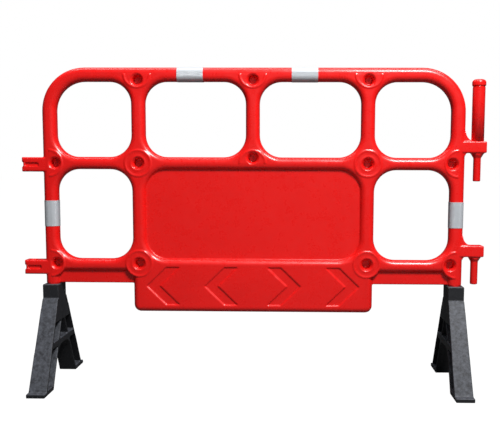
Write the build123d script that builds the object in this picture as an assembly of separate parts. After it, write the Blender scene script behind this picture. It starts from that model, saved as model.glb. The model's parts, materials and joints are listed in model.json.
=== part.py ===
from build123d import *
import os
from math import atan2, cos

# Interlocking plastic crowd barrier: one hollow blow-moulded panel on two swivelling A-frame feet.
# Frame: millimetres, +Z up, +X along the barrier, front face towards -Y.
# The origin is on the ground, in the middle of the barrier's length and depth.

# ---------------------------------------------------------------- overall sizes
overall_length = 1500.0  # lug tip to arm end
panel_top = 1030.0  # top of the top rail above the ground
stile_x = 660.0  # centre line of each end stile
upright_x = 371.0  # centre line of the two inner uprights

# ---------------------------------------------------------------- moulded lattice
rail_width = 45.0  # top rail, stiles and uprights, seen from the front
cross_rail_width = 40.0  # middle and lower rails
rail_depth = 45.0  # front to back
edge_round = 18.5  # rounding that makes the flat lattice read as tubes
crest_land = 1.5  # least flat kept each side of a bar's crest
wall = 3.0  # blow-moulded wall
mid_rail_z = 724.0
lower_rail_z = 391.0
corner_radius = 140.0  # outer bend of the top corners
window_radius = 71.0  # corners of every opening in the lattice
crotch_radius = 24.0  # under the lower rail, beside stile and sign board

# ---------------------------------------------------------------- thin walls of the moulding
infill_depth = 16.0  # recessed panel between the inner uprights
strip_depth = 18.0  # recessed strips under the lower rail's outer bays
strip_bottom = 331.0

# ---------------------------------------------------------------- sign board with chevrons
board_half = 392.0
board_bottom = 236.5
board_corner = 23.0
chevron_height = 125.0
chevron_reach = 65.0  # from the tip's corner back to the arm's end
chevron_thickness = 45.0
chevron_pitch = 190.5
chevron_first = 157.5  # from the middle of the board to the nearer tip
chevron_depth = 4.0
chevron_z = 323.0

# ---------------------------------------------------------------- kiss-off bosses at the lattice nodes
boss_radius = 44.0
boss_proud = 2.0
boss_draft = 3.0
boss_sunk = 10.0  # how far the boss's skirt runs down into the rails
boss_rim = 5.0
dish_depth = 1.5
lower_boss_lift = 6.0  # bosses on the lower rail sit this much above its middle
bead_width = 4.0  # raised ring round a dimple's mouth
bead_height = 1.0
dimple_shift = 18.0  # a T-node's dimple sits this far into its branch
dimple_radius = 14.0
dimple_mouth = 21.0
cone_depth = 7.0
front_dimple = 30.0  # depth of a front dimple below the bar's crest

# ---------------------------------------------------------------- connectors at the two ends
connector_x = 724.0  # axis of the pins, of the lug bores and of the post
lug_height = 47.0
upper_lug_z = 719.0
connector_depth = 44.0
connector_pitch = 336.0
pin_play = 1.5  # round a pin in its bore
lug_round = 6.0
lug_groove = (44.0, 12.0, 5.0)  # length, height, depth
lug_notch = (4.0, 15.0)  # depth, height
arm_lift = 17.5  # arm's underside above the lug that hangs under it
arm_height = 37.0
arm_round = 4.0
arm_gusset = 32.0
arm_crotch = 9.0
pin_radius = 12.0
pin_length = 75.0
pin_tip = 3.0
funnel_radius = 22.0
funnel_height = 16.0

# ---------------------------------------------------------------- post on the upper arm
post_radius = 20.0
post_wall = 3.0
post_length = 172.0
post_floor = 6.0
spigot_radius = 14.5
spigot_length = 24.0
spigot_play = 0.3
cap_radius = 22.0
cap_height = 25.0
cap_plug_length = 14.0
cap_round = 11.0
neck_height = 2.5

# ---------------------------------------------------------------- reflective sleeves
sleeve_width = 84.0
sleeve_film = 0.8
sleeve_gap = 0.05
top_sleeve_x = (-201.0, 167.0)
side_sleeve_z = 560.0

# ---------------------------------------------------------------- feet
foot_length = 400.0
foot_width = 52.0  # at the collar
toe_width = 59.0  # on the ground
collar_depth = 76.0
collar_height = 46.0
collar_gap = 3.0  # between the collar and the strip above it
block_height = 73.0  # solid block between collar and legs
leg_step = 5.0  # the legs start this much proud of the collar
leg_plate = 7.0
leg_inner = 6.0
leg_slope = 0.49  # sideways run for each unit of height
toe_height = 12.0
toe_ledge = 22.0
toe_inner = 115.0  # half the gap between the toes on the ground
toe_round = 3.0
web_thickness = 8.0
crossbar_top = 150.0
crossbar_height = 20.0
arch_round = 55.0

# ---------------------------------------------------------------- what holds a foot on
swivel_play = 0.3
stub_radius = 22.0
stub_wall = 4.0
stub_floor = 40.0  # solid end of the stub that holds the threaded insert
seat_play = 0.2
foot_floor = 12.0
bolt_radius = 5.0
bolt_hole_radius = 5.5
bolt_reach = 24.0  # thread held by the insert
bolt_across_flats = 17.0
bolt_head = 6.4
insert_radius = 8.0
insert_length = 30.0
washer_radius = 10.0
washer_thickness = 2.0
thread_gap = 0.05

# ---------------------------------------------------------------- derived sizes
half_depth = rail_depth / 2
bore_radius = pin_radius + pin_play
half_rail = rail_width / 2
half_cross = cross_rail_width / 2
tube_round = min(edge_round, half_rail - crest_land, half_cross - crest_land, half_depth - crest_land)
back_dimple = rail_depth - front_dimple - 2 * wall + seat_play
top_rail_z = panel_top - half_rail
collar_top = strip_bottom - collar_gap
collar_bottom = collar_top - collar_height
block_bottom = collar_bottom - block_height
stub_end = block_bottom + foot_floor + seat_play
washer_top = block_bottom - seat_play
arm_end = overall_length / 2
upper_arm_z = upper_lug_z + lug_height / 2 + arm_lift + arm_height / 2
connector_rows = (0.0, -connector_pitch)
SIDES = {"left": -1, "right": 1}


def front_plate(face, depth):
    """A sketch drawn in X and Z, made into a plate with its middle on Y = 0."""
    return extrude(Plane.XZ * face, amount=depth / 2, both=True)


def rounded_box(x0, x1, z0, z1, radius):
    return Pos((x0 + x1) / 2, (z0 + z1) / 2) * RectangleRounded(x1 - x0, z1 - z0, radius)


# ---------------------------------------------------------------- panel: lattice
def window_boxes():
    """Every gap of the lattice as x0, x1, z0, z1: four above, three below."""
    upper = (mid_rail_z + half_cross, panel_top - rail_width)
    lower = (lower_rail_z + half_cross, mid_rail_z - half_cross)
    end = (upright_x + half_rail, stile_x - half_rail)
    middle = (half_rail, upright_x - half_rail)
    boxes = []
    for a, b in (end, middle):
        boxes += [(a, b, *upper), (-b, -a, *upper)]
    boxes += [(end[0], end[1], *lower), (-end[1], -end[0], *lower)]
    return boxes + [(-middle[1], middle[1], *lower)]


def lattice_outline(inset):
    """Outside edge of the moulding without its thin strips, drawn in X and Z."""
    out, top = stile_x + half_rail - inset, panel_top - inset
    inner, rail = stile_x - half_rail + inset, lower_rail_z - half_cross + inset
    board, low = board_half - inset, board_bottom + inset
    foot = strip_bottom - rail_width
    points = [(out, foot), (out, top), (-out, top), (-out, foot), (-inner, foot), (-inner, rail)]
    points += [(-board, rail), (-board, low), (board, low), (board, rail), (inner, rail), (inner, foot)]
    face = make_face(Polyline(*points, close=True))
    radii = {
        top: corner_radius - inset,
        rail: crotch_radius - inset,
        low: board_corner - inset,
        foot: tube_round + 1 - inset,
    }
    for height, radius in radii.items():
        corners = face.vertices().filter_by(lambda v: abs(v.Y - height) < 0.01)
        face = fillet(corners, radius)
    return face


def window(box, inset):
    """One gap of the lattice; a corner beside the top bend follows that bend."""
    x0, x1, z0, z1 = box
    size = (x1 - x0 + 2 * inset, z1 - z0 + 2 * inset)
    face = Pos((x0 + x1) / 2, (z0 + z1) / 2) * Rectangle(*size)
    bend = stile_x - half_rail + inset, panel_top - rail_width + inset
    in_bend = lambda v: abs(abs(v.X) - bend[0]) < 0.01 and abs(v.Y - bend[1]) < 0.01
    inner = face.vertices().filter_by(lambda v: not in_bend(v))
    face = fillet(inner, window_radius + inset)
    outer = face.vertices().filter_by(in_bend)
    return fillet(outer, corner_radius - rail_width + inset) if outer else face


def lattice(inset):
    """Plate with windows whose edges are rounded until each bar reads as a tube."""
    face = lattice_outline(inset)
    for box in window_boxes():
        face -= window(box, inset)
    plate = front_plate(face, rail_depth - 2 * inset)
    faces = plate.faces().filter_by(Axis.Y)
    plate = fillet(faces.edges(), tube_round - inset)
    below = Pos(0, 0, strip_bottom - rail_width) * Box(2 * overall_length, rail_depth, 2 * rail_width)
    board = Box(2 * (board_half + crotch_radius), rail_depth, 2 * overall_length)
    return plate - (below - board)


def thin_walls(inset):
    """The recessed panel and the two strips, reaching into the bars around them."""
    infill = rounded_box(-upright_x, upright_x, lower_rail_z, mid_rail_z, window_radius)
    walls = front_plate(infill, infill_depth - 2 * inset)
    low = strip_bottom + inset
    for side in SIDES.values():
        near, far = board_half - half_rail, stile_x
        middle = (side * (near + far) / 2, (low + lower_rail_z) / 2)
        strip = Pos(*middle) * Rectangle(far - near, lower_rail_z - low)
        walls += front_plate(strip, strip_depth - 2 * inset)
    return walls


# ---------------------------------------------------------------- panel: bosses and dimples
def lattice_nodes():
    """Each boss as x, z and the way its third bar leaves; a crossing has no such way."""
    low = lower_rail_z + lower_boss_lift
    nodes = [(x, top_rail_z, (0, -1)) for x in (-upright_x, 0, upright_x)]
    nodes.append((0, mid_rail_z, (0, 1)))
    for z in (mid_rail_z, low):
        for side in SIDES.values():
            nodes.append((side * stile_x, z, (-side, 0)))
            nodes.append((side * upright_x, z, (0, 0)))
    return nodes


def on_front(x, z):
    """Workplane on the lattice's front: X to the right, Y up, Z outwards."""
    return Plane(origin=(x, -half_depth, z), x_dir=(1, 0, 0), z_dir=(0, -1, 0))


def both_faces(solids):
    """The same shapes on the front and, mirrored, on the back."""
    return [copy for solid in solids for copy in (solid, mirror(solid, about=Plane.XZ))]


def boss(branch):
    """Drafted disc with a rim, a shallow dish and a bead; a T-node keeps the branch's half."""
    disc = Pos(0, 0, (boss_proud - boss_sunk) / 2) * Cone(
        boss_radius + boss_draft, boss_radius, boss_sunk + boss_proud
    )
    disc -= Pos(0, 0, boss_proud) * Cylinder(boss_radius - boss_rim, 2 * dish_depth)
    floor = boss_proud - dish_depth
    bead = Pos(branch[0] * dimple_shift, branch[1] * dimple_shift, floor) * Cylinder(
        dimple_mouth + bead_width, 2 * bead_height
    )
    if branch == (0, 0):
        return disc + bead
    reach = boss_radius + boss_draft
    half = Pos(branch[0] * reach, branch[1] * reach, 0) * Box(2 * reach, 2 * reach, 4 * boss_sunk)
    return disc & half


def dimple(branch, inset, depth):
    """The kiss-off pressed into a boss: a cone, then a round pit down to that depth."""
    floor = boss_proud - dish_depth
    mouth, pit = dimple_mouth + inset, dimple_radius + inset
    deep, shoulder = -depth - inset, floor - cone_depth - inset
    top = 3 * boss_proud
    points = [(0, deep), (pit, deep), (pit, shoulder), (mouth, floor), (mouth, top), (0, top)]
    tool = revolve(Plane.XZ * make_face(Polyline(*points, close=True)), Axis.Z)
    return Pos(branch[0] * dimple_shift, branch[1] * dimple_shift, 0) * tool


def dimples(inset):
    """Every dimple, deep on the front and shallow on the back, where the two walls meet."""
    tools = []
    for x, z, branch in lattice_nodes():
        tools.append(on_front(x, z) * dimple(branch, inset, front_dimple))
        tools.append(mirror(on_front(x, z) * dimple(branch, inset, back_dimple), about=Plane.XZ))
    return tools


# ---------------------------------------------------------------- panel: sign board
def chevrons(inset):
    """Recesses for two chevrons pointing left and two pointing right, on one face."""
    up, back, thick = chevron_height / 2, chevron_reach, chevron_thickness
    points = [(0, 0), (back, up), (back + thick, up), (thick, 0), (back + thick, -up), (back, -up)]
    arrow = make_face(Polyline(*points, close=True))
    if inset:
        arrow = offset(arrow, inset, kind=Kind.INTERSECTION)
    tools = []
    for step in (0, chevron_pitch):
        left = Pos(-chevron_first - step, 0) * arrow
        for face in (left, mirror(left, about=Plane.YZ)):
            tool = extrude(on_front(0, chevron_z) * face, amount=half_depth)
            tools.append(Pos(0, chevron_depth + inset, 0) * tool)
    return tools


# ---------------------------------------------------------------- panel: connectors
def lug(z):
    """Socket of the left end: a block with a notched end, a groove on each face and a bore."""
    near, tip = -stile_x, -arm_end
    face = Pos((near + tip) / 2, z) * Rectangle(near - tip, lug_height)
    face -= Pos(tip, z) * Rectangle(2 * lug_notch[0], lug_notch[1])
    block = front_plate(face, connector_depth)
    ends = block.edges().filter_by(lambda e: e.center().X < near - 1).filter_by(Axis.Y, reverse=True)
    block = fillet(ends, lug_round)
    length, height, depth = lug_groove
    groove = Pos(-connector_x + bore_radius / 2, -connector_depth / 2, z) * Box(length, 2 * depth, height)
    bore = Pos(-connector_x, 0, z) * Cylinder(bore_radius, 2 * lug_height)
    return block - both_faces([groove]) - bore


def gusset(z, way, radius):
    """Curved fillet between the right stile's outside and an arm's face at height z."""
    edge = stile_x + half_rail
    points = [(stile_x, z), (edge, z + way * radius), (edge, z), (edge + radius, z)]
    points += [(edge + radius, z - way * radius / 4), (stile_x, z - way * radius / 4)]
    face = make_face(Polyline(*points, close=True))
    corner = face.vertices().filter_by(lambda v: abs(v.X - edge) + abs(v.Y - z) < 0.01)
    return front_plate(fillet(corner, radius - 0.5), connector_depth - 2 * arm_round)


def arm(z):
    """Bracket of the right end: a block with gussets, and under it a funnel and a pin."""
    top, low = z + arm_height / 2, z - arm_height / 2
    length = arm_end - stile_x
    block = Pos(stile_x + length / 2, 0, z) * Box(length, connector_depth, arm_height)
    end = block.faces().sort_by(Axis.X)[-1].edges()
    block = fillet(end + block.edges().filter_by(Axis.X), arm_round)
    funnel = Pos(0, 0, -funnel_height / 2) * Cone(pin_radius, funnel_radius, funnel_height)
    funnel &= Box(2 * funnel_radius, connector_depth - 2 * arm_round, 2 * funnel_height)
    pin = Cylinder(pin_radius, pin_length + funnel_height)
    pin = fillet(pin.edges().sort_by(Axis.Z)[0], pin_tip)
    pin = Pos(0, 0, -(pin_length + funnel_height) / 2) * pin
    under = Pos(connector_x, 0, low)
    return block + [gusset(top, 1, arm_gusset), gusset(low, -1, arm_crotch), under * funnel, under * pin]


def stub(side):
    """Round spigot under a stile, on which the foot turns."""
    top = strip_bottom + half_rail
    return Pos(side * stile_x, 0, (top + stub_end) / 2) * Cylinder(stub_radius, top - stub_end)


# ---------------------------------------------------------------- panel: whole moulding
def skin(inset):
    """Surface of the moulding shrunk by inset: 0 gives the outside, the wall gives the hollow."""
    return lattice(inset) + thin_walls(inset) - both_faces(chevrons(inset))


def hollow():
    """Air inside the moulding: the shrunken skin less its dimples, and the stubs' bores."""
    air = skin(wall) - dimples(wall)
    top, low = strip_bottom + half_rail, stub_end + stub_floor
    bore = Cylinder(stub_radius - stub_wall, top - low)
    return air + [Pos(side * stile_x, 0, (top + low) / 2) * bore for side in SIDES.values()]


def barrier_panel():
    bosses = [on_front(x, z) * boss(branch) for x, z, branch in lattice_nodes()]
    panel = skin(0) + both_faces(bosses) - dimples(0)
    panel += [lug(upper_lug_z + row) for row in connector_rows]
    panel += [arm(upper_arm_z + row) for row in connector_rows]
    panel += [stub(side) for side in SIDES.values()]
    seat = Cylinder(insert_radius, 2 * insert_length)
    panel -= [Pos(side * stile_x, 0, stub_end) * seat for side in SIDES.values()]
    arm_top = Pos(connector_x, 0, upper_arm_z + arm_height / 2)
    panel -= arm_top * Cylinder(spigot_radius + spigot_play, 2 * (spigot_length + spigot_play))
    panel -= arm_top * Pos(0, 0, post_length / 2) * Cylinder(post_radius + spigot_play, post_length)
    return panel - hollow()


# ---------------------------------------------------------------- what is fitted to the panel
def sleeve():
    """Film wrapped right round a bar, drawn round the Z axis."""
    inside = rail_width + 2 * sleeve_gap
    outside = inside + 2 * sleeve_film
    ring = RectangleRounded(outside, outside, tube_round + sleeve_gap + sleeve_film)
    ring -= RectangleRounded(inside, inside, tube_round + sleeve_gap)
    return extrude(ring, amount=sleeve_width / 2, both=True)


def sleeves():
    found = {}
    for (name, side), x in zip(SIDES.items(), top_sleeve_x):
        found[f"reflective_sleeve_top_{name}"] = Pos(x, 0, top_rail_z) * Rot(0, 90, 0) * sleeve()
        found[f"reflective_sleeve_side_{name}"] = Pos(side * stile_x, 0, side_sleeve_z) * sleeve()
    return found


def lamp_post():
    """Blow-moulded tube with a closed foot and a spigot that drops into the upper arm."""
    tube = Pos(0, 0, post_length / 2) * Cylinder(post_radius, post_length)
    bore = Pos(0, 0, post_floor + post_length / 2) * Cylinder(post_radius - post_wall, post_length)
    spigot = Cylinder(spigot_radius, spigot_length)
    spigot = fillet(spigot.edges().sort_by(Axis.Z)[0], pin_tip)
    return tube - bore + Pos(0, 0, -spigot_length / 2) * spigot


def post_cap():
    """Domed plug with a neck; it closes the top of the post."""
    neck = Pos(0, 0, neck_height / 2) * Cylinder(post_radius - 1, neck_height)
    head_height = cap_height - neck_height
    head = Pos(0, 0, neck_height + head_height / 2) * Cylinder(cap_radius, head_height)
    head = fillet(head.edges().sort_by(Axis.Z)[-1], cap_round)
    head = fillet(head.edges().filter_by(GeomType.CIRCLE).sort_by(Axis.Z)[0], cap_round / 2)
    plug = Cylinder(post_radius - post_wall - spigot_play, cap_plug_length)
    return head + neck + Pos(0, 0, -cap_plug_length / 2) * plug


def threaded_insert():
    body = Pos(0, 0, insert_length / 2) * Cylinder(insert_radius, insert_length)
    return body - Pos(0, 0, bolt_reach / 2) * Cylinder(bolt_radius + thread_gap, bolt_reach)


def washer():
    ring = Cylinder(washer_radius, washer_thickness) - Cylinder(bolt_hole_radius, washer_thickness)
    return Pos(0, 0, washer_thickness / 2) * ring


def foot_bolt():
    """Hexagon bolt, head down, drawn with the underside of its head at Z = 0."""
    head = extrude(RegularPolygon(bolt_across_flats / 2, 6, major_radius=False), amount=-bolt_head)
    reach = stub_end - washer_top + washer_thickness + bolt_reach
    return head + Pos(0, 0, reach / 2) * Cylinder(bolt_radius, reach)


# ---------------------------------------------------------------- feet
def outer_y(z):
    """Outside of a leg at height z."""
    top, low = collar_depth / 2 + leg_step, foot_length / 2 - toe_ledge
    return top + (low - top) * (collar_bottom - z) / (collar_bottom - toe_height)


def inner_y(z):
    """Inside of a leg at height z."""
    return toe_inner - leg_slope * z


def side_face(points, radius):
    """Polygon drawn in Y and Z with every corner rounded."""
    face = make_face(Polyline(*points, close=True))
    return fillet(face.vertices(), radius)


def leg_pocket(low, high):
    """Recess between a leg's outer and inner flange, on the +Y side."""
    outer, inner = leg_plate / cos(atan2(1, 2)), leg_inner / cos(atan2(1, 2))
    points = [(inner_y(low) + inner, low), (outer_y(low) - outer, low)]
    points += [(outer_y(high) - outer, high), (inner_y(high) + inner, high)]
    return side_face(points, toe_round)


def foot_profile():
    """Side view of the A-frame, with its arch and without its recesses."""
    half, reach, arch = collar_depth / 2, foot_length / 2, crossbar_top - crossbar_height
    points = [(half, collar_top), (half, collar_bottom), (half + leg_step, collar_bottom)]
    points += [(outer_y(toe_height), toe_height), (reach, toe_height), (reach, 0), (toe_inner, 0)]
    points += [(inner_y(arch), arch)]
    points += [(-y, z) for y, z in reversed(points)]
    face = make_face(Polyline(*points, close=True))
    return fillet(face.vertices().filter_by(lambda v: abs(v.Y - arch) < 0.01), arch_round)


def foot():
    """A-frame foot round the Z axis, with a collar that turns on the panel's stub."""
    body = extrude(Plane.YZ * foot_profile(), amount=toe_width / 2, both=True)
    neck, toe = foot_width / 2, toe_width / 2
    outline = [(toe, 0), (neck, collar_bottom), (neck, collar_top)]
    outline += [(-x, z) for x, z in reversed(outline)]
    body &= front_plate(make_face(Polyline(*outline, close=True)), foot_length)
    arch = crossbar_top - crossbar_height
    recesses = [leg_pocket(toe_height + toe_round, arch), leg_pocket(crossbar_top, block_bottom)]
    for face in recesses:
        cut = extrude(Plane.YZ * face, amount=toe_width / 2, both=True)
        cut -= Box(web_thickness, foot_length, 2 * collar_top)
        body -= [cut, mirror(cut, about=Plane.XZ)]
    high, low = block_bottom, crossbar_top
    points = [(-inner_y(low), low), (inner_y(low), low), (inner_y(high), high), (-inner_y(high), high)]
    body -= extrude(Plane.YZ * side_face(points, toe_round), amount=foot_width, both=True)
    depth = collar_top - block_bottom - foot_floor
    body -= Pos(0, 0, collar_top - depth / 2) * Cylinder(stub_radius + swivel_play, depth)
    return body - Pos(0, 0, block_bottom) * Cylinder(bolt_hole_radius, 4 * foot_floor)


# ---------------------------------------------------------------- assembly
def assembly():
    """Every piece by its name, in place."""
    arm_top = upper_arm_z + arm_height / 2
    pieces = {"barrier_panel": barrier_panel()}
    pieces.update(sleeves())
    pieces["lamp_post"] = Pos(connector_x, 0, arm_top) * lamp_post()
    pieces["lamp_post_cap"] = Pos(connector_x, 0, arm_top + post_length) * post_cap()
    for name, side in SIDES.items():
        here = Pos(side * stile_x, 0, 0)
        pieces[f"{name}_foot"] = here * foot()
        pieces[f"{name}_foot_washer"] = here * Pos(0, 0, washer_top - washer_thickness) * washer()
        pieces[f"{name}_foot_bolt"] = here * Pos(0, 0, washer_top - washer_thickness) * foot_bolt()
        pieces[f"{name}_stub_insert"] = here * Pos(0, 0, stub_end) * threaded_insert()
    return pieces


if __name__ == "__main__":
    os.makedirs("parts", exist_ok=True)
    for name, piece in assembly().items():
        export_step(piece, f"parts/{name}.step")
        print(f"{name:32s} {piece.volume / 1000:9.1f} cm3")
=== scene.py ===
# %% [markdown]
# # A blow-moulded crowd barrier, finished in Blender
# The barrier is one hollow red moulding that stands on two black swivelling feet. Four white
# reflective bands are wrapped round it and a capped post stands on one end. The shapes and the
# joints come packed from the CAD model. This lesson gives each piece the surface that its own
# making leaves on it: blow moulding, pressing, printing and plating.

import json
from math import pi, radians

import bmesh
import bpy
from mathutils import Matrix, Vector


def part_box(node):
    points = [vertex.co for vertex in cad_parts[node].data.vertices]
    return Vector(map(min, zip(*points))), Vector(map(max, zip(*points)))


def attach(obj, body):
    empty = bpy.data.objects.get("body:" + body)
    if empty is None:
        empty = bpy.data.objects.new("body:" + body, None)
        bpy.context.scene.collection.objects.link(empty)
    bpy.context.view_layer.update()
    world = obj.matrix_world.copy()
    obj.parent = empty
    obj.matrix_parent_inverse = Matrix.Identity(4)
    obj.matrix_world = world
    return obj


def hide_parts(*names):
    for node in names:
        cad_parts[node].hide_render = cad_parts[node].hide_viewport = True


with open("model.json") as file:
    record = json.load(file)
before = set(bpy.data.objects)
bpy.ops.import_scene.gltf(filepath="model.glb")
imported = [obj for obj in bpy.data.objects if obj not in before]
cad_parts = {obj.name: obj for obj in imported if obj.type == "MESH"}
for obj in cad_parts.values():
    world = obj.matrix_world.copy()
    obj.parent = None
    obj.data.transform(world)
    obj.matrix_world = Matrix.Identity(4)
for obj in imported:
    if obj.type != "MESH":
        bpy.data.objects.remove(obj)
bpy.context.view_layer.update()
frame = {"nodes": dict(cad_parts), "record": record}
nodes = frame["nodes"]
MM = 0.001

# %% [markdown]
# ## Colours
# Paint and plastic colours are usually given as sRGB hex values. Shaders work in linear light,
# so one function turns a hex value into the linear colour that a socket wants.


# %% Hex colour to linear
def colour(hex_value):
    def linear(byte):
        c = byte / 255
        return c / 12.92 if c <= 0.04045 else ((c + 0.055) / 1.055) ** 2.4

    value = hex_value.lstrip("#")
    return tuple(linear(int(value[i : i + 2], 16)) for i in (0, 2, 4)) + (1.0,)


# %% [markdown]
# ## Building a node tree
# A node tree is a drawing of how a surface is worked out. One small function adds a node, sets
# it up and links what feeds it. Every layer of every material below is one call of it.


# %% Add a node
def add(tree, kind, settings=None, **inputs):
    """Adds a node; each input is named by its identifier and takes a value or an output."""
    node = tree.nodes.new(kind)
    for name, value in (settings or {}).items():
        setattr(node, name, value)
    for name, value in inputs.items():
        socket = next(s for s in node.inputs if s.identifier.replace(" ", "_") == name)
        if isinstance(value, bpy.types.NodeSocket):
            tree.links.new(value, socket)
        else:
            socket.default_value = value
    return node


def start_material(name):
    """An empty node material; gives it with its tree and its Object coordinates."""
    material = bpy.data.materials.new(name)
    material.use_nodes = True
    tree = material.node_tree
    tree.nodes.clear()
    return material, tree, add(tree, "ShaderNodeTexCoord").outputs["Object"]


BLEND = {"data_type": "RGBA"}
CLAMP = {"use_clamp": True}
TIMES = {"operation": "MULTIPLY"}
print("add and start_material are ready")

# %% [markdown]
# ## Red blow-moulded polyethylene
# The panel is HDPE: a tube of soft plastic was caught between two mould halves and blown against
# them. The outside copies the mould's faint grain, which is called orange peel. Pigment makes it
# a deep, even red. Handling leaves fine pale scuffs. A thin raised line runs round the rim where
# the two mould halves met, in the plane Y = 0. The IOR of HDPE is 1.54.


# %% Moulded red plastic
def moulded_polyethylene():
    material, tree, place = start_material("blow_moulded_red_hdpe")
    cloud = add(
        tree, "ShaderNodeTexNoise", Vector=place, Scale=1 / (180 * MM), Detail=2.0
    ).outputs[0]
    even = add(
        tree,
        "ShaderNodeMix",
        BLEND,
        Factor_Float=cloud,
        A_Color=colour("#DE1210"),
        B_Color=colour("#E91814"),
    ).outputs[2]
    fine = add(
        tree, "ShaderNodeTexNoise", Vector=place, Scale=1 / (26 * MM), Detail=5.0, Roughness=0.65
    ).outputs[0]
    blotch = add(
        tree, "ShaderNodeMapRange", Value=fine, From_Min=0.5, From_Max=0.9, To_Max=0.12
    ).outputs[0]
    mottled = add(
        tree, "ShaderNodeMix", BLEND, Factor_Float=blotch, A_Color=even, B_Color=colour("#C4080B")
    ).outputs[2]
    drawn = add(tree, "ShaderNodeMapping", Vector=place, Scale=(0.12, 1, 1.6)).outputs[0]
    scratch = add(
        tree, "ShaderNodeTexNoise", Vector=drawn, Scale=1 / (5 * MM), Detail=4.0, Roughness=0.7
    ).outputs[0]
    worn = add(
        tree, "ShaderNodeMapRange", Value=scratch, From_Min=0.68, From_Max=0.76, To_Max=0.25
    ).outputs[0]
    scuffed = add(
        tree, "ShaderNodeMix", BLEND, Factor_Float=worn, A_Color=mottled, B_Color=colour("#EE3A34")
    ).outputs[2]
    depth = add(tree, "ShaderNodeSeparateXYZ", Vector=place).outputs["Y"]
    offset = add(tree, "ShaderNodeMath", {"operation": "ABSOLUTE"}, Value=depth).outputs[0]
    seam = add(
        tree, "ShaderNodeMapRange", Value=offset, From_Max=0.9 * MM, To_Min=1.0, To_Max=0.0
    ).outputs[0]
    tint = add(tree, "ShaderNodeMath", TIMES, Value=seam, Value_001=0.3).outputs[0]
    pigment = add(
        tree, "ShaderNodeMix", BLEND, Factor_Float=tint, A_Color=scuffed, B_Color=colour("#F04038")
    ).outputs[2]
    wave = add(
        tree, "ShaderNodeTexNoise", Vector=place, Scale=1 / (60 * MM), Detail=1.0
    ).outputs[0]
    sunk = add(tree, "ShaderNodeBump", Height=wave, Distance=0.7 * MM).outputs[0]
    peel = add(
        tree, "ShaderNodeTexNoise", Vector=place, Scale=1 / (3.2 * MM), Detail=2.0
    ).outputs[0]
    grained = add(tree, "ShaderNodeBump", Height=peel, Distance=0.09 * MM, Normal=sunk).outputs[0]
    ridged = add(tree, "ShaderNodeBump", Height=seam, Distance=0.4 * MM, Normal=grained).outputs[0]
    gloss = add(
        tree,
        "ShaderNodeMapRange",
        Value=fine,
        From_Min=0.3,
        From_Max=0.75,
        To_Min=0.24,
        To_Max=0.36,
    ).outputs[0]
    rough = add(tree, "ShaderNodeMath", CLAMP, Value=gloss, Value_001=worn).outputs[0]
    shader = add(
        tree,
        "ShaderNodeBsdfPrincipled",
        Base_Color=pigment,
        Roughness=rough,
        IOR=1.54,
        Normal=ridged,
    )
    add(tree, "ShaderNodeOutputMaterial", Surface=shader.outputs[0])
    return material


red_plastic = moulded_polyethylene()
print("material", red_plastic.name)

# %% [markdown]
# ## Retroreflective film
# The white bands are prismatic film: clear plastic over tiny corner cubes, sealed in cells. By
# day it reads as pale grey with a faint diamond net of seal lines. The diamonds are 6 mm from
# corner to corner, so about 4 mm across, which is too fine to show from far away. The film is
# faintly metallic because the cubes behind it mirror light. Road dirt gathers in patches.


# %% Reflective film
def reflective_film():
    material, tree, place = start_material("prismatic_reflective_film")
    parts = add(tree, "ShaderNodeSeparateXYZ", Vector=place).outputs
    cell_size, seal_half = 6 * MM, 0.4 * MM
    near = {"operation": "LESS_THAN"}
    lines = []
    for way in ("ADD", "SUBTRACT"):
        slant = add(
            tree, "ShaderNodeMath", {"operation": way}, Value=parts["X"], Value_001=parts["Z"]
        )
        cell = add(
            tree,
            "ShaderNodeMath",
            {"operation": "PINGPONG"},
            Value=slant.outputs[0],
            Value_001=cell_size / 2,
        )
        line = add(tree, "ShaderNodeMath", near, Value=cell.outputs[0], Value_001=seal_half)
        lines.append(line.outputs[0])
    net = add(
        tree, "ShaderNodeMath", {"operation": "MAXIMUM"}, Value=lines[0], Value_001=lines[1]
    ).outputs[0]
    soil = add(
        tree, "ShaderNodeTexNoise", Vector=place, Scale=1 / (30 * MM), Detail=5.0, Roughness=0.65
    ).outputs[0]
    white = add(
        tree,
        "ShaderNodeMix",
        BLEND,
        Factor_Float=soil,
        A_Color=colour("#B4B8BD"),
        B_Color=colour("#CACED2"),
    ).outputs[2]
    faint = add(tree, "ShaderNodeMath", TIMES, Value=net, Value_001=0.35).outputs[0]
    netted = add(
        tree, "ShaderNodeMix", BLEND, Factor_Float=faint, A_Color=white, B_Color=colour("#9CA2A8")
    ).outputs[2]
    spots = add(
        tree, "ShaderNodeTexNoise", Vector=place, Scale=1 / (9 * MM), Detail=6.0
    ).outputs[0]
    grime = add(
        tree, "ShaderNodeMapRange", Value=spots, From_Min=0.62, From_Max=0.8, To_Max=0.5
    ).outputs[0]
    dirty = add(
        tree, "ShaderNodeMix", BLEND, Factor_Float=grime, A_Color=netted, B_Color=colour("#908C86")
    ).outputs[2]
    relief = add(tree, "ShaderNodeBump", Height=net, Distance=-0.15 * MM).outputs[0]
    shader = add(
        tree,
        "ShaderNodeBsdfPrincipled",
        Base_Color=dirty,
        Roughness=0.32,
        IOR=1.49,
        Metallic=0.15,
        Normal=relief,
    )
    add(tree, "ShaderNodeOutputMaterial", Surface=shader.outputs[0])
    return material


white_film = reflective_film()
print("material", white_film.name)
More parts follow.
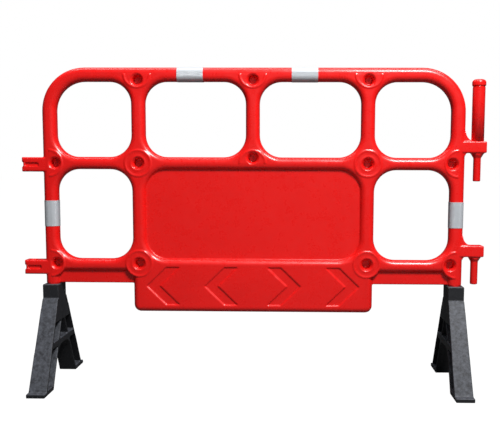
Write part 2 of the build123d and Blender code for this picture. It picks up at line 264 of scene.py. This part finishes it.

# %% [markdown]
# ## Pressed recycled rubber
# The feet are pressed from ground-up tyres and cable plastic, which makes them heavy. The surface
# is near black with small pale specks of the ground stock, matt and slightly pitted. The sloping
# fronts and the ledges, where the surface looks upwards, are painted lighter grey in patches:
# partly scuffs where the feet are kicked, dragged and stacked, partly painted light from above.


# %% Recycled rubber
def recycled_rubber():
    material, tree, place = start_material("pressed_recycled_rubber")
    cloud = add(
        tree, "ShaderNodeTexNoise", Vector=place, Scale=1 / (60 * MM), Detail=6.0, Roughness=0.6
    ).outputs[0]
    black = add(
        tree,
        "ShaderNodeMix",
        BLEND,
        Factor_Float=cloud,
        A_Color=colour("#0C0D10"),
        B_Color=colour("#1A1B20"),
    ).outputs[2]
    crumb = add(tree, "ShaderNodeTexVoronoi", Vector=place, Scale=1 / (4 * MM)).outputs
    round_speck = add(
        tree,
        "ShaderNodeMapRange",
        Value=crumb["Distance"],
        From_Min=0.1,
        From_Max=0.22,
        To_Min=1.0,
        To_Max=0.0,
    ).outputs[0]
    lot = add(tree, "ShaderNodeSeparateColor", Color=crumb["Color"]).outputs[0]
    chosen = add(
        tree, "ShaderNodeMath", {"operation": "GREATER_THAN"}, Value=lot, Value_001=0.8
    ).outputs[0]
    speck = add(
        tree, "ShaderNodeMath", TIMES, Value=round_speck, Value_001=chosen
    ).outputs[0]
    pale = add(tree, "ShaderNodeMath", TIMES, Value=speck, Value_001=0.45).outputs[0]
    specked = add(
        tree, "ShaderNodeMix", BLEND, Factor_Float=pale, A_Color=black, B_Color=colour("#7C7E83")
    ).outputs[2]
    # Painted light: faces that look upwards are made lighter grey, mixed with the scuff patches.
    facing = add(tree, "ShaderNodeNewGeometry").outputs["Normal"]
    upward = add(tree, "ShaderNodeSeparateXYZ", Vector=facing).outputs["Z"]
    top_light_and_wear_mask = add(tree, "ShaderNodeMapRange", Value=upward, From_Min=0.3, From_Max=0.42).outputs[0]
    patches = add(
        tree, "ShaderNodeTexNoise", Vector=place, Scale=1 / (12 * MM), Detail=7.0, Roughness=0.7
    ).outputs[0]
    rub = add(
        tree,
        "ShaderNodeMapRange",
        Value=patches,
        From_Min=0.35,
        From_Max=0.7,
        To_Min=0.1,
        To_Max=0.95,
    ).outputs[0]
    painted_top_light_and_rub = add(tree, "ShaderNodeMath", TIMES, Value=top_light_and_wear_mask, Value_001=rub).outputs[0]
    # This grey is partly scuffs and partly painted light on the upward faces.
    scuffed = add(
        tree,
        "ShaderNodeMix",
        BLEND,
        Factor_Float=painted_top_light_and_rub,
        A_Color=specked,
        B_Color=colour("#54575F"),
    ).outputs[2]
    drawn = add(tree, "ShaderNodeMapping", Vector=place, Scale=(1.4, 1, 0.2)).outputs[0]
    drag = add(
        tree, "ShaderNodeTexNoise", Vector=drawn, Scale=1 / (7 * MM), Detail=5.0, Roughness=0.7
    ).outputs[0]
    streak = add(
        tree, "ShaderNodeMapRange", Value=drag, From_Min=0.62, From_Max=0.75, To_Max=0.3
    ).outputs[0]
    streaked = add(
        tree,
        "ShaderNodeMix",
        BLEND,
        Factor_Float=streak,
        A_Color=scuffed,
        B_Color=colour("#74767B"),
    ).outputs[2]
    lumps = add(
        tree, "ShaderNodeTexNoise", Vector=place, Scale=1 / (18 * MM), Detail=2.0
    ).outputs[0]
    uneven = add(tree, "ShaderNodeBump", Height=lumps, Distance=0.8 * MM).outputs[0]
    pits = add(
        tree, "ShaderNodeTexNoise", Vector=place, Scale=1 / (2.4 * MM), Detail=3.0
    ).outputs[0]
    pitted = add(tree, "ShaderNodeBump", Height=pits, Distance=0.25 * MM, Normal=uneven).outputs[0]
    shader = add(
        tree,
        "ShaderNodeBsdfPrincipled",
        Base_Color=streaked,
        Roughness=0.62,
        IOR=1.52,
        Normal=pitted,
    )
    add(tree, "ShaderNodeOutputMaterial", Surface=shader.outputs[0])
    return material


black_rubber = recycled_rubber()
print("material", black_rubber.name)

# %% [markdown]
# ## Zinc plate and brass
# The bolts and washers are steel with a thin bright zinc plate, which shows a fine spangle and
# dulls in patches. The threaded inserts are turned brass. Both are metals, so the colour sits in
# the reflection and the IOR keeps its default.


# %% Plated steel and turned brass
def plated_metal(name, dull, bright, grain, roughness):
    material, tree, place = start_material(name)
    cloud = add(tree, "ShaderNodeTexNoise", Vector=place, Scale=1 / grain, Detail=5.0).outputs[0]
    tone = add(
        tree,
        "ShaderNodeMix",
        BLEND,
        Factor_Float=cloud,
        A_Color=colour(dull),
        B_Color=colour(bright),
    ).outputs[2]
    rough = add(
        tree,
        "ShaderNodeMapRange",
        Value=cloud,
        From_Min=0.3,
        From_Max=0.7,
        To_Min=roughness,
        To_Max=roughness + 0.15,
    ).outputs[0]
    ticks = add(tree, "ShaderNodeTexNoise", Vector=place, Scale=4 / grain).outputs[0]
    relief = add(tree, "ShaderNodeBump", Height=ticks, Distance=0.05 * MM).outputs[0]
    shader = add(
        tree,
        "ShaderNodeBsdfPrincipled",
        Base_Color=tone,
        Roughness=rough,
        Metallic=1.0,
        Normal=relief,
    )
    add(tree, "ShaderNodeOutputMaterial", Surface=shader.outputs[0])
    return material


zinc_plate = plated_metal("zinc_plated_steel", "#9FA3A6", "#D2D5D6", grain=3 * MM, roughness=0.3)
turned_brass = plated_metal("turned_brass", "#A8823C", "#D9B871", grain=2 * MM, roughness=0.25)
print("materials", zinc_plate.name, turned_brass.name)

# %% [markdown]
# ## Soft edges on mouldings
# Blow moulding can't make a sharp corner: the plastic bridges it and leaves a small radius. The
# CAD faces meet sharply where bosses, recesses and brackets run into the bars. A voxel remesh
# turns the outside into an even skin, a few smoothing passes melt those corners by a millimetre
# or two, and a decimate drops the faces that flat stretches don't need. The hollow inside is
# dropped first, because nobody sees it.


# %% Copy a CAD mesh as one merged skin
def merged_copy(node, name, outside_only=False):
    """A new object with the node's shape, its loose triangles joined into closed shells."""
    mesh = nodes[node].data.copy()
    mesh.name = name
    shell = bmesh.new()
    shell.from_mesh(mesh)
    bmesh.ops.remove_doubles(shell, verts=shell.verts, dist=0.002 * MM)
    if outside_only:
        keep_largest(shell)
    shell.to_mesh(mesh)
    shell.free()
    mesh.materials.clear()
    piece = bpy.data.objects.new(name, mesh)
    bpy.context.scene.collection.objects.link(piece)
    return piece


def keep_largest(shell):
    """Deletes every closed shell but the one with the widest box."""
    left, groups = set(shell.verts), []
    while left:
        stack = [left.pop()]
        group = list(stack)
        while stack:
            for edge in stack.pop().link_edges:
                for vert in edge.verts:
                    if vert in left:
                        left.remove(vert)
                        stack.append(vert)
                        group.append(vert)
        groups.append(group)
    widest = max(groups, key=lambda g: max(v.co.x for v in g) - min(v.co.x for v in g))
    inner = [v for group in groups if group is not widest for v in group]
    bmesh.ops.delete(shell, geom=inner, context="VERTS")


# %% Turn live modifiers into a plain mesh
def bake_modifiers(piece):
    graph = bpy.context.evaluated_depsgraph_get()
    done = bpy.data.meshes.new_from_object(piece.evaluated_get(graph), depsgraph=graph)
    old = piece.data
    piece.modifiers.clear()
    piece.data = done
    bpy.data.meshes.remove(old)


def soften(piece, voxel, passes, triangles):
    """Remeshes at a voxel size, smooths and thins to about so many triangles."""
    remesh = piece.modifiers.new("skin", "REMESH")
    remesh.mode = "VOXEL"
    remesh.voxel_size = voxel
    bake_modifiers(piece)
    smooth = piece.modifiers.new("melt", "SMOOTH")
    smooth.factor = 0.5
    smooth.iterations = passes
    bake_modifiers(piece)
    count = sum(len(face.vertices) - 2 for face in piece.data.polygons)
    if count > triangles:
        thin = piece.modifiers.new("thin", "DECIMATE")
        thin.ratio = triangles / count
        bake_modifiers(piece)
    piece.data.polygons.foreach_set("use_smooth", [True] * len(piece.data.polygons))
    print(piece.name, count, "->", len(piece.data.polygons), "faces")


# %% [markdown]
# ## Pieces that stand for CAD nodes
# A finished piece takes the CAD node's place on the screen, rides on the same body and names the
# same material slot, while the node itself stays in the model for collision.


# %% Give a piece its body, its finish and its node
bodies = frame["record"]["behaviour"]["bodies"]
body_of = {node: body for body, members in bodies.items() for node in members}
slot_of = {part["node"]: part["material_slot"] for part in frame["record"]["subparts"]}
finish_of = {
    "red_hdpe": red_plastic,
    "reflective_film": white_film,
    "black_rubber": black_rubber,
    "zinc_steel": zinc_plate,
    "brass_insert": turned_brass,
}


def stand_in(piece, node):
    piece.data.materials.clear()
    piece.data.materials.append(finish_of[slot_of[node]])
    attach(piece, body_of[node])
    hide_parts(node)


# %% The panel
panel = merged_copy("barrier_panel", "panel_moulding", outside_only=True)
soften(panel, voxel=1.9 * MM, passes=2, triangles=195000)
stand_in(panel, "barrier_panel")

# %% The feet
for side in ("left", "right"):
    foot = merged_copy(f"{side}_foot", f"{side}_foot_pressing")
    soften(foot, voxel=1.6 * MM, passes=4, triangles=60000)
    stand_in(foot, f"{side}_foot")

# %% [markdown]
# ## Knurls, repeated by Geometry Nodes
# A brass insert grips the plastic round it with straight ribs, which are called knurls. One rib is
# set on each point of a circle, turned to look outwards. The group's inputs are the sizes that a
# maker would give, and the ribs stand a tenth of a millimetre proud of the brass.


# %% Ring of ribs
def knurl_ring():
    group = bpy.data.node_groups.new("knurl_ring", "GeometryNodeTree")
    group.interface.new_socket("Geometry", in_out="OUTPUT", socket_type="NodeSocketGeometry")
    group.interface.new_socket("Geometry", in_out="INPUT", socket_type="NodeSocketGeometry")
    for label, kind in (
        ("Ribs", "NodeSocketInt"),
        ("Radius", "NodeSocketFloat"),
        ("Rib size", "NodeSocketVector"),
        ("Centre", "NodeSocketVector"),
        ("Metal", "NodeSocketMaterial"),
    ):
        group.interface.new_socket(label, in_out="INPUT", socket_type=kind)
    given = add(group, "NodeGroupInput").outputs
    circle = add(
        group, "GeometryNodeMeshCircle", Vertices=given["Ribs"], Radius=given["Radius"]
    ).outputs[0]
    rib = add(group, "GeometryNodeMeshCube", Size=given["Rib size"]).outputs[0]
    outwards = add(group, "GeometryNodeInputPosition").outputs[0]
    turn = add(
        group, "FunctionNodeAlignRotationToVector", {"axis": "X"}, Vector=outwards
    ).outputs[0]
    ribs = add(
        group, "GeometryNodeInstanceOnPoints", Points=circle, Instance=rib, Rotation=turn
    ).outputs[0]
    placed = add(
        group, "GeometryNodeTransform", Geometry=ribs, Translation=given["Centre"]
    ).outputs[0]
    solid = add(group, "GeometryNodeRealizeInstances", Geometry=placed).outputs[0]
    joined = add(group, "GeometryNodeJoinGeometry")
    group.links.new(solid, joined.inputs[0])
    group.links.new(given["Geometry"], joined.inputs[0])
    coated = add(
        group, "GeometryNodeSetMaterial", Geometry=joined.outputs[0], Material=given["Metal"]
    ).outputs[0]
    output = group.nodes.new("NodeGroupOutput")
    group.links.new(coated, output.inputs[0])
    return group


def knurl(piece, node, group):
    """Runs the group round the node's own box and keeps the result as a plain mesh."""
    low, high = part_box(node)
    centre = [(a + b) / 2 for a, b in zip(low, high)]
    count, proud, side, share = 24, 0.1 * MM, 0.8 * MM, 0.6
    values = {
        "Ribs": count,
        "Radius": (high[0] - low[0]) / 2 + proud - side / 2,
        "Rib size": (side, side, share * (high[2] - low[2])),
        "Centre": centre,
        "Metal": turned_brass,
    }
    modifier = piece.modifiers.new("knurls", "NODES")
    modifier.node_group = group
    for socket in group.interface.items_tree:
        if socket.in_out == "INPUT" and socket.name in values:
            modifier[socket.identifier] = values[socket.name]
    bake_modifiers(piece)


# %% [markdown]
# ## The smaller pieces
# The bands, the post, its cap and the fixings keep their CAD shape. Their copies are merged so
# that round faces shade smoothly and flat ones stay flat, with a crease where faces meet at more
# than thirty degrees.


# %% Smooth round faces, crisp edges
def crease(piece, angle=30):
    piece.data.polygons.foreach_set("use_smooth", [True] * len(piece.data.polygons))
    piece.data.set_sharp_from_angle(angle=radians(angle))


ring = knurl_ring()
for node in nodes:
    if node not in ("barrier_panel", "left_foot", "right_foot"):
        piece = merged_copy(node, node + "_finished")
        if slot_of[node] == "brass_insert":
            knurl(piece, node, ring)
        crease(piece)
        stand_in(piece, node)
print("finished", len(nodes), "nodes")

# %% [markdown]
# ## Floor, light and camera
# The camera sees the floor and the sky as plain white. One long softbox hangs over the barrier, so
# the tops of the rails shine. The key stands high to the right of the front and gives each dimple
# a dark side. A wide dim lamp in front lifts the shadows and isn't mirrored in the plastic.


# %% Floor and sky
def floor():
    mesh = bpy.data.meshes.new("floor")
    size = 30.0
    corners = [(-size, -size, 0), (size, -size, 0), (size, size, 0), (-size, size, 0)]
    mesh.from_pydata(corners, [], [(0, 1, 2, 3)])
    plane = bpy.data.objects.new("floor", mesh)
    bpy.context.scene.collection.objects.link(plane)
    material, tree, _ = start_material("pale_floor")
    bounce = add(tree, "ShaderNodeBsdfDiffuse", Color=colour("#5A5A5A")).outputs[0]
    glow = add(tree, "ShaderNodeEmission", Color=colour("#FFFFFF"), Strength=1.0).outputs[0]
    pale = add(tree, "ShaderNodeBsdfDiffuse", Color=colour("#404040")).outputs[0]
    seen = add(tree, "ShaderNodeAddShader", Shader=pale, Shader_001=glow).outputs[0]
    watched = add(tree, "ShaderNodeLightPath").outputs["Is Camera Ray"]
    surface = add(
        tree, "ShaderNodeMixShader", Fac=watched, Shader=bounce, Shader_001=seen
    ).outputs[0]
    add(tree, "ShaderNodeOutputMaterial", Surface=surface)
    mesh.materials.append(material)


def sky():
    world = bpy.data.worlds.new("studio")
    world.use_nodes = True
    tree = world.node_tree
    tree.nodes.clear()
    watched = add(tree, "ShaderNodeLightPath").outputs["Is Camera Ray"]
    seen = add(tree, "ShaderNodeBackground", Color=colour("#FFFFFF"), Strength=1.0).outputs[0]
    lit = add(tree, "ShaderNodeBackground", Color=colour("#E2ECFA"), Strength=0.1).outputs[0]
    surface = add(tree, "ShaderNodeMixShader", Fac=watched, Shader=lit, Shader_001=seen).outputs[0]
    add(tree, "ShaderNodeOutputWorld", Surface=surface)
    bpy.context.scene.world = world


floor()
sky()
print("floor and sky are set")


# %% Softboxes
def softbox(name, place, target, size, power, mirrored=True):
    """An area lamp looking at a target; one that isn't mirrored leaves no highlight."""
    light = bpy.data.lights.new(name, "AREA")
    light.shape = "RECTANGLE"
    light.size, light.size_y = size
    light.energy = power
    lamp = bpy.data.objects.new(name, light)
    bpy.context.scene.collection.objects.link(lamp)
    lamp.location = place
    lamp.rotation_euler = (Vector(target) - Vector(place)).to_track_quat("-Z", "Y").to_euler()
    lamp.visible_glossy = mirrored
    print(name, power, "W")


centre = (0.0, 0.0, 0.6)
softbox("overhead", (0.1, 0.1, 3.2), (0.1, 0.0, 0.6), (4.0, 1.0), 62)
softbox("key", (1.1, -2.1, 3.2), centre, (0.9, 0.9), 175)
softbox("front_fill", (0.6, -5.0, 1.6), centre, (4.0, 2.4), 20, mirrored=False)


# %% Camera
def camera():
    lens = bpy.data.cameras.new("camera")
    lens.sensor_width = 36.0
    lens.lens = 50.44
    lens.shift_x = -0.0583
    lens.shift_y = 0.0383
    lens.clip_end = 100
    viewer = bpy.data.objects.new("camera", lens)
    bpy.context.scene.collection.objects.link(viewer)
    viewer.location = (0.1328, -2.2852, 0.7155)
    pitch, turn, roll = radians(5.29), radians(1.19), radians(-0.2)
    viewer.rotation_euler = (pi / 2 - pitch, roll, turn)
    bpy.context.scene.camera = viewer


camera()
bpy.context.scene.view_settings.view_transform = "Standard"
